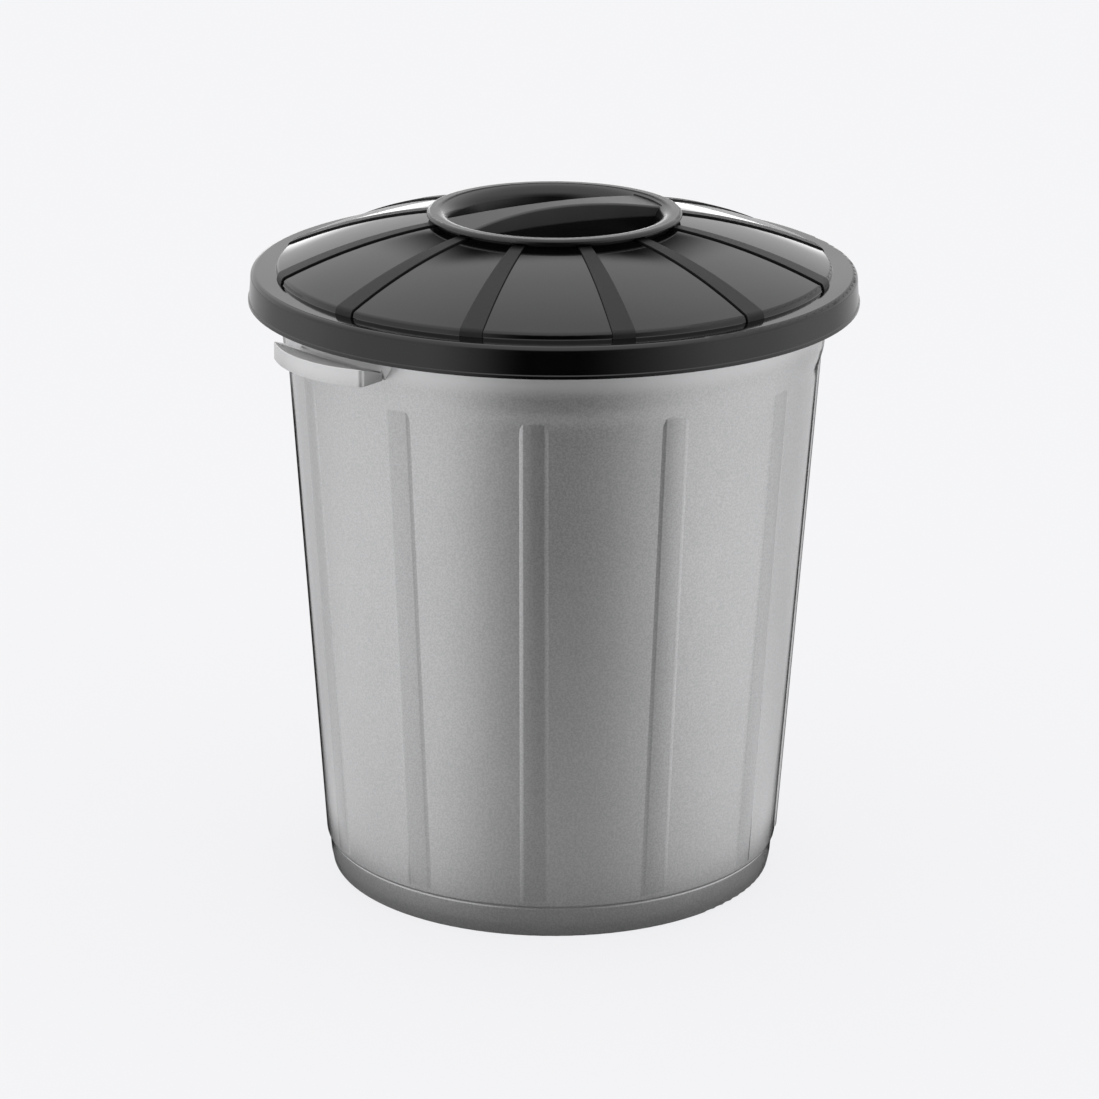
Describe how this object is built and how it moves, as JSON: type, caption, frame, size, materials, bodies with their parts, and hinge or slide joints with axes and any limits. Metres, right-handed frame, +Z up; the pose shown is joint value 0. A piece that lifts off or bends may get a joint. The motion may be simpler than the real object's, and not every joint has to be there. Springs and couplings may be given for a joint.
{
  "type": "round lidded waste bin",
  "caption": "Tapered round plastic waste bin with moulded ribs, two grip ears under the rim and a lift-off domed lid with raised straps and a sunk bar grip.",
  "frame": {"origin": "centre of the foot ring's underside, on the floor", "axes": "+Z up, X through the two grip ears; the ribs stand at 15 degrees from X and every 30 after"},
  "size_m": [0.4834, 0.462, 0.524],
  "materials": {
    "bucket_plastic": "satin",
    "lid_gloss": "gloss",
    "lid_grained": "matte",
    "grip_satin": "satin"
  },
  "bodies": {
    "bin": {"bin_body": "bucket_plastic", "side_handle_left": "bucket_plastic", "side_handle_right": "bucket_plastic"},
    "lid": {"lid_shell": "lid_gloss", "lid_strap_spider": "lid_grained", "lid_grip": "grip_satin"}
  },
  "joints": [
    {"name": "lid_lift", "type": "slide", "parent": "bin", "child": "lid", "axis": [0, 0, 1], "range_m": [0, 0.25]}
  ]
}
